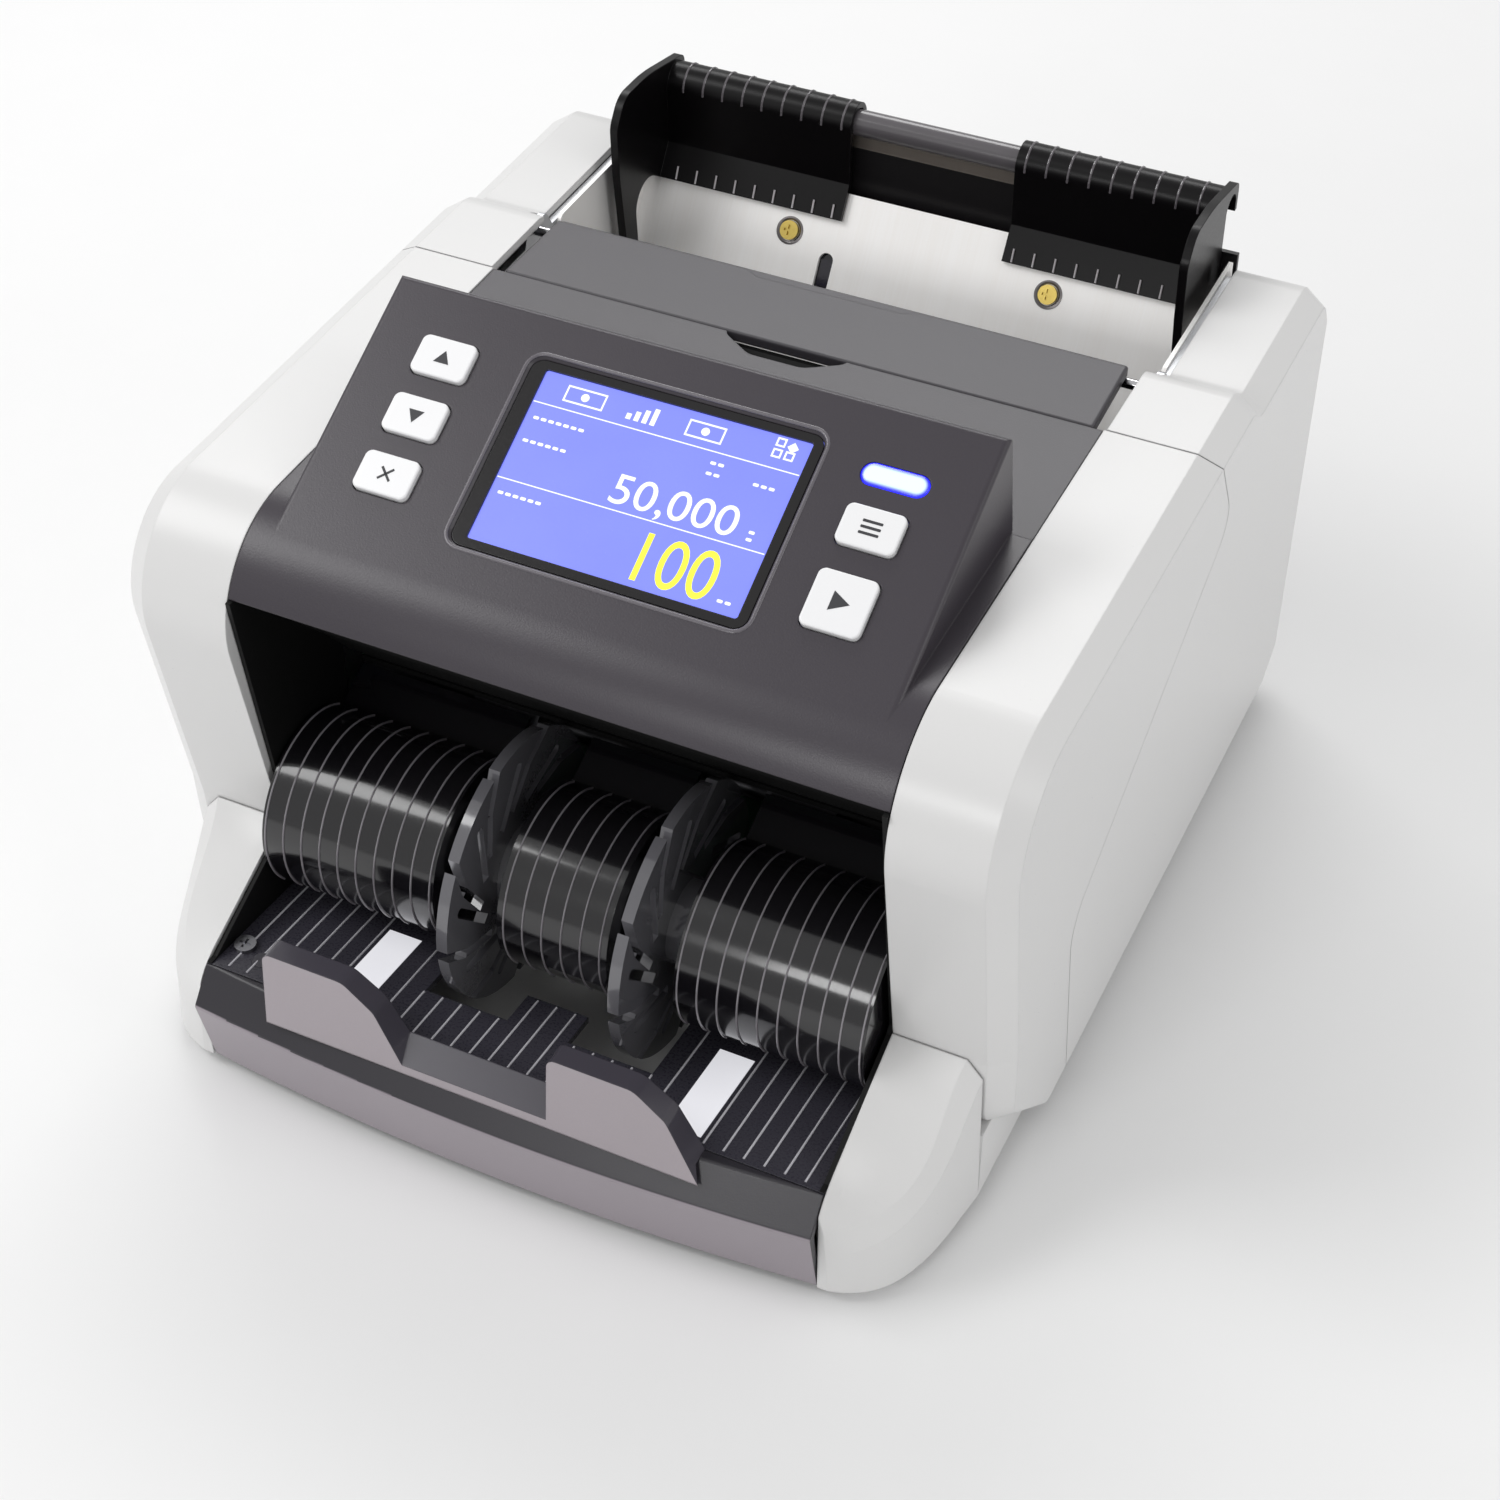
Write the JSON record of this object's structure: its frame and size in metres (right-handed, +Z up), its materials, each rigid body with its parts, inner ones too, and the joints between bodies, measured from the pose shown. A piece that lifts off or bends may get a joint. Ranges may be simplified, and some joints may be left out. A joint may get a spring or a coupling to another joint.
{
  "type": "banknote counter",
  "caption": "Desktop banknote counter: rear hopper with sliding guides, roller feed, tilted display console with keys, and a finger-wheel stacker pocket at the front.",
  "frame": {"origin": "centre of the bounding box in plan, at the underside of the rubber feet", "axes": "+Z up, -Y towards the operator (stacker side), +X to the operator's right"},
  "size_m": [0.2434, 0.2955, 0.1855],
  "materials": {
    "white_plastic": "satin moulded ABS",
    "console_plastic": "fine-textured dark moulded ABS",
    "grey_plastic": "fine-textured grey moulded ABS",
    "gloss_black": "polished black ABS",
    "lip_plastic": "satin grey-violet moulded ABS",
    "floor_plastic": "satin ribbed dark ABS",
    "brushed_plate": "brushed stainless steel",
    "frame_steel": "zinc-plated sheet steel",
    "shaft_steel": "ground steel",
    "roller_rubber": "matt rubber",
    "belt_rubber": "matt rubber",
    "foot_rubber": "matt rubber",
    "key_white": "white satin keycap",
    "screen": "backlit display",
    "led": "lit translucent plastic",
    "board": "solder-masked laminate",
    "yellow_screw": "yellow-passivated steel",
    "grey_screw": "nickel-plated steel",
    "wheel_plastic": "polished flexible black plastic",
    "reflector": "white reflective film",
    "sensor_plastic": "dark infrared-clear plastic",
    "motor_metal": "black-painted steel",
    "psu_metal": "plain aluminium case",
    "inlet_plastic": "black nylon"
  },
  "bodies": {
    "root": {"console_board": "board", "console_cover": "console_plastic", "cover_screws": "grey_screw", "display_bezel": "gloss_black", "display_screen": "screen", "drive_belts": "belt_rubber", "drum_guides": "gloss_black", "flap_hinge_rod": "shaft_steel", "front_lip": "lip_plastic", "front_shell_left": "white_plastic", "front_shell_right": "white_plastic", "hopper_back_strip": "brushed_plate", "hopper_plate": "brushed_plate", "hopper_rod": "console_plastic", "hopper_screws": "yellow_screw", "image_sensor_bars": "sensor_plastic", "lower_housing": "white_plastic", "main_board": "board", "motor_bodies": "motor_metal", "note_path_plates": "gloss_black", "note_sensors": "sensor_plastic", "note_stopper": "lip_plastic", "power_inlet": "inlet_plastic", "power_supply": "psu_metal", "rear_panel": "grey_plastic", "rear_shell_left": "white_plastic", "rear_shell_right": "white_plastic", "reflector_strips": "reflector", "rubber_feet": "foot_rubber", "separator_roller": "roller_rubber", "shaft_bearings": "shaft_steel", "side_frames": "frame_steel", "stacker_chute": "gloss_black", "stacker_floor": "floor_plastic", "status_light": "led", "top_frame": "grey_plastic"},
    "stacker": {"stacker_shaft": "shaft_steel", "stacking_wheels": "wheel_plastic"},
    "feed": {"feed_shaft": "shaft_steel", "feed_rollers": "roller_rubber"},
    "pickup": {"pickup_shaft": "shaft_steel", "pickup_rollers": "roller_rubber"},
    "drive_rear": {"drive_shaft_rear": "shaft_steel", "drive_rollers_rear": "roller_rubber"},
    "drive_front": {"drive_shaft_front": "shaft_steel", "drive_rollers_front": "roller_rubber"},
    "pinch_rear": {"pinch_roller_rear": "roller_rubber"},
    "pinch_front": {"pinch_roller_front": "roller_rubber"},
    "main_rotor": {"main_motor_rotor": "shaft_steel"},
    "stacker_rotor": {"stacker_motor_rotor": "shaft_steel"},
    "key_up": {"key_up": "key_white"},
    "key_down": {"key_down": "key_white"},
    "key_clear": {"key_clear": "key_white"},
    "key_menu": {"key_menu": "key_white"},
    "key_start": {"key_start": "key_white"},
    "flap": {"feed_flap": "grey_plastic"},
    "guide_left": {"hopper_guide_left": "gloss_black"},
    "guide_right": {"hopper_guide_right": "gloss_black"},
    "rocker": {"power_rocker": "inlet_plastic"}
  },
  "joints": [
    {"name": "feed_spin", "type": "hinge", "parent": "root", "child": "feed", "pos_m": [0, 0.056, 0.064], "axis": [1, 0, 0], "continuous": true},
    {"name": "main_motor_spin", "type": "hinge", "parent": "root", "child": "main_rotor", "pos_m": [0, 0.1, 0.036], "axis": [1, 0, 0], "continuous": true},
    {"name": "pickup_spin", "type": "hinge", "parent": "root", "child": "pickup", "pos_m": [0, 0.088, 0.073], "axis": [1, 0, 0], "continuous": true},
    {"name": "drive_rear_spin", "type": "hinge", "parent": "root", "child": "drive_rear", "pos_m": [0, 0.012, 0.064], "axis": [1, 0, 0], "continuous": true},
    {"name": "drive_front_spin", "type": "hinge", "parent": "root", "child": "drive_front", "pos_m": [0, -0.038, 0.064], "axis": [1, 0, 0], "continuous": true},
    {"name": "pinch_rear_spin", "type": "hinge", "parent": "root", "child": "pinch_rear", "pos_m": [0, 0.012, 0.0894], "axis": [1, 0, 0], "continuous": true},
    {"name": "pinch_front_spin", "type": "hinge", "parent": "root", "child": "pinch_front", "pos_m": [0, -0.038, 0.0894], "axis": [1, 0, 0], "continuous": true},
    {"name": "stacker_spin", "type": "hinge", "parent": "root", "child": "stacker", "pos_m": [0, -0.082, 0.055], "axis": [1, 0, 0], "continuous": true},
    {"name": "stacker_motor_spin", "type": "hinge", "parent": "root", "child": "stacker_rotor", "pos_m": [0, -0.036, 0.028], "axis": [1, 0, 0], "continuous": true},
    {"name": "key_up_press", "type": "slide", "parent": "root", "child": "key_up", "axis": [0, 0.4545, -0.8908], "range_m": [0, 0.001], "stiffness_N_per_m": 600, "springref_m": -0.0006},
    {"name": "key_down_press", "type": "slide", "parent": "root", "child": "key_down", "axis": [0, 0.4545, -0.8908], "range_m": [0, 0.001], "stiffness_N_per_m": 600, "springref_m": -0.0006},
    {"name": "key_clear_press", "type": "slide", "parent": "root", "child": "key_clear", "axis": [0, 0.4545, -0.8908], "range_m": [0, 0.001], "stiffness_N_per_m": 600, "springref_m": -0.0006},
    {"name": "key_menu_press", "type": "slide", "parent": "root", "child": "key_menu", "axis": [0, 0.4545, -0.8908], "range_m": [0, 0.001], "stiffness_N_per_m": 600, "springref_m": -0.0006},
    {"name": "key_start_press", "type": "slide", "parent": "root", "child": "key_start", "axis": [0, 0.4545, -0.8908], "range_m": [0, 0.001], "stiffness_N_per_m": 600, "springref_m": -0.0006},
    {"name": "flap_hinge", "type": "hinge", "parent": "root", "child": "flap", "pos_m": [0, 0.0655, 0.1483], "axis": [-1, 0, 0], "range_deg": [0, 85]},
    {"name": "guide_left_slide", "type": "slide", "parent": "root", "child": "guide_left", "axis": [1, 0, 0], "range_m": [0, 0.024]},
    {"name": "guide_right_slide", "type": "slide", "parent": "root", "child": "guide_right", "axis": [-1, 0, 0], "range_m": [0, 0.024]},
    {"name": "power_rocker_tilt", "type": "hinge", "parent": "root", "child": "rocker", "pos_m": [0.028, 0.1365, 0.034], "axis": [-1, 0, 0], "range_deg": [0, 18]}
  ],
  "couplings": [
    {"joint": "main_motor_spin", "follows": "feed_spin", "ratio": 2},
    {"joint": "pickup_spin", "follows": "feed_spin", "ratio": 1},
    {"joint": "drive_rear_spin", "follows": "feed_spin", "ratio": 1},
    {"joint": "drive_front_spin", "follows": "feed_spin", "ratio": 1},
    {"joint": "pinch_rear_spin", "follows": "feed_spin", "ratio": -1.7778},
    {"joint": "pinch_front_spin", "follows": "feed_spin", "ratio": -1.7778},
    {"joint": "stacker_motor_spin", "follows": "stacker_spin", "ratio": 1.4}
  ]
}
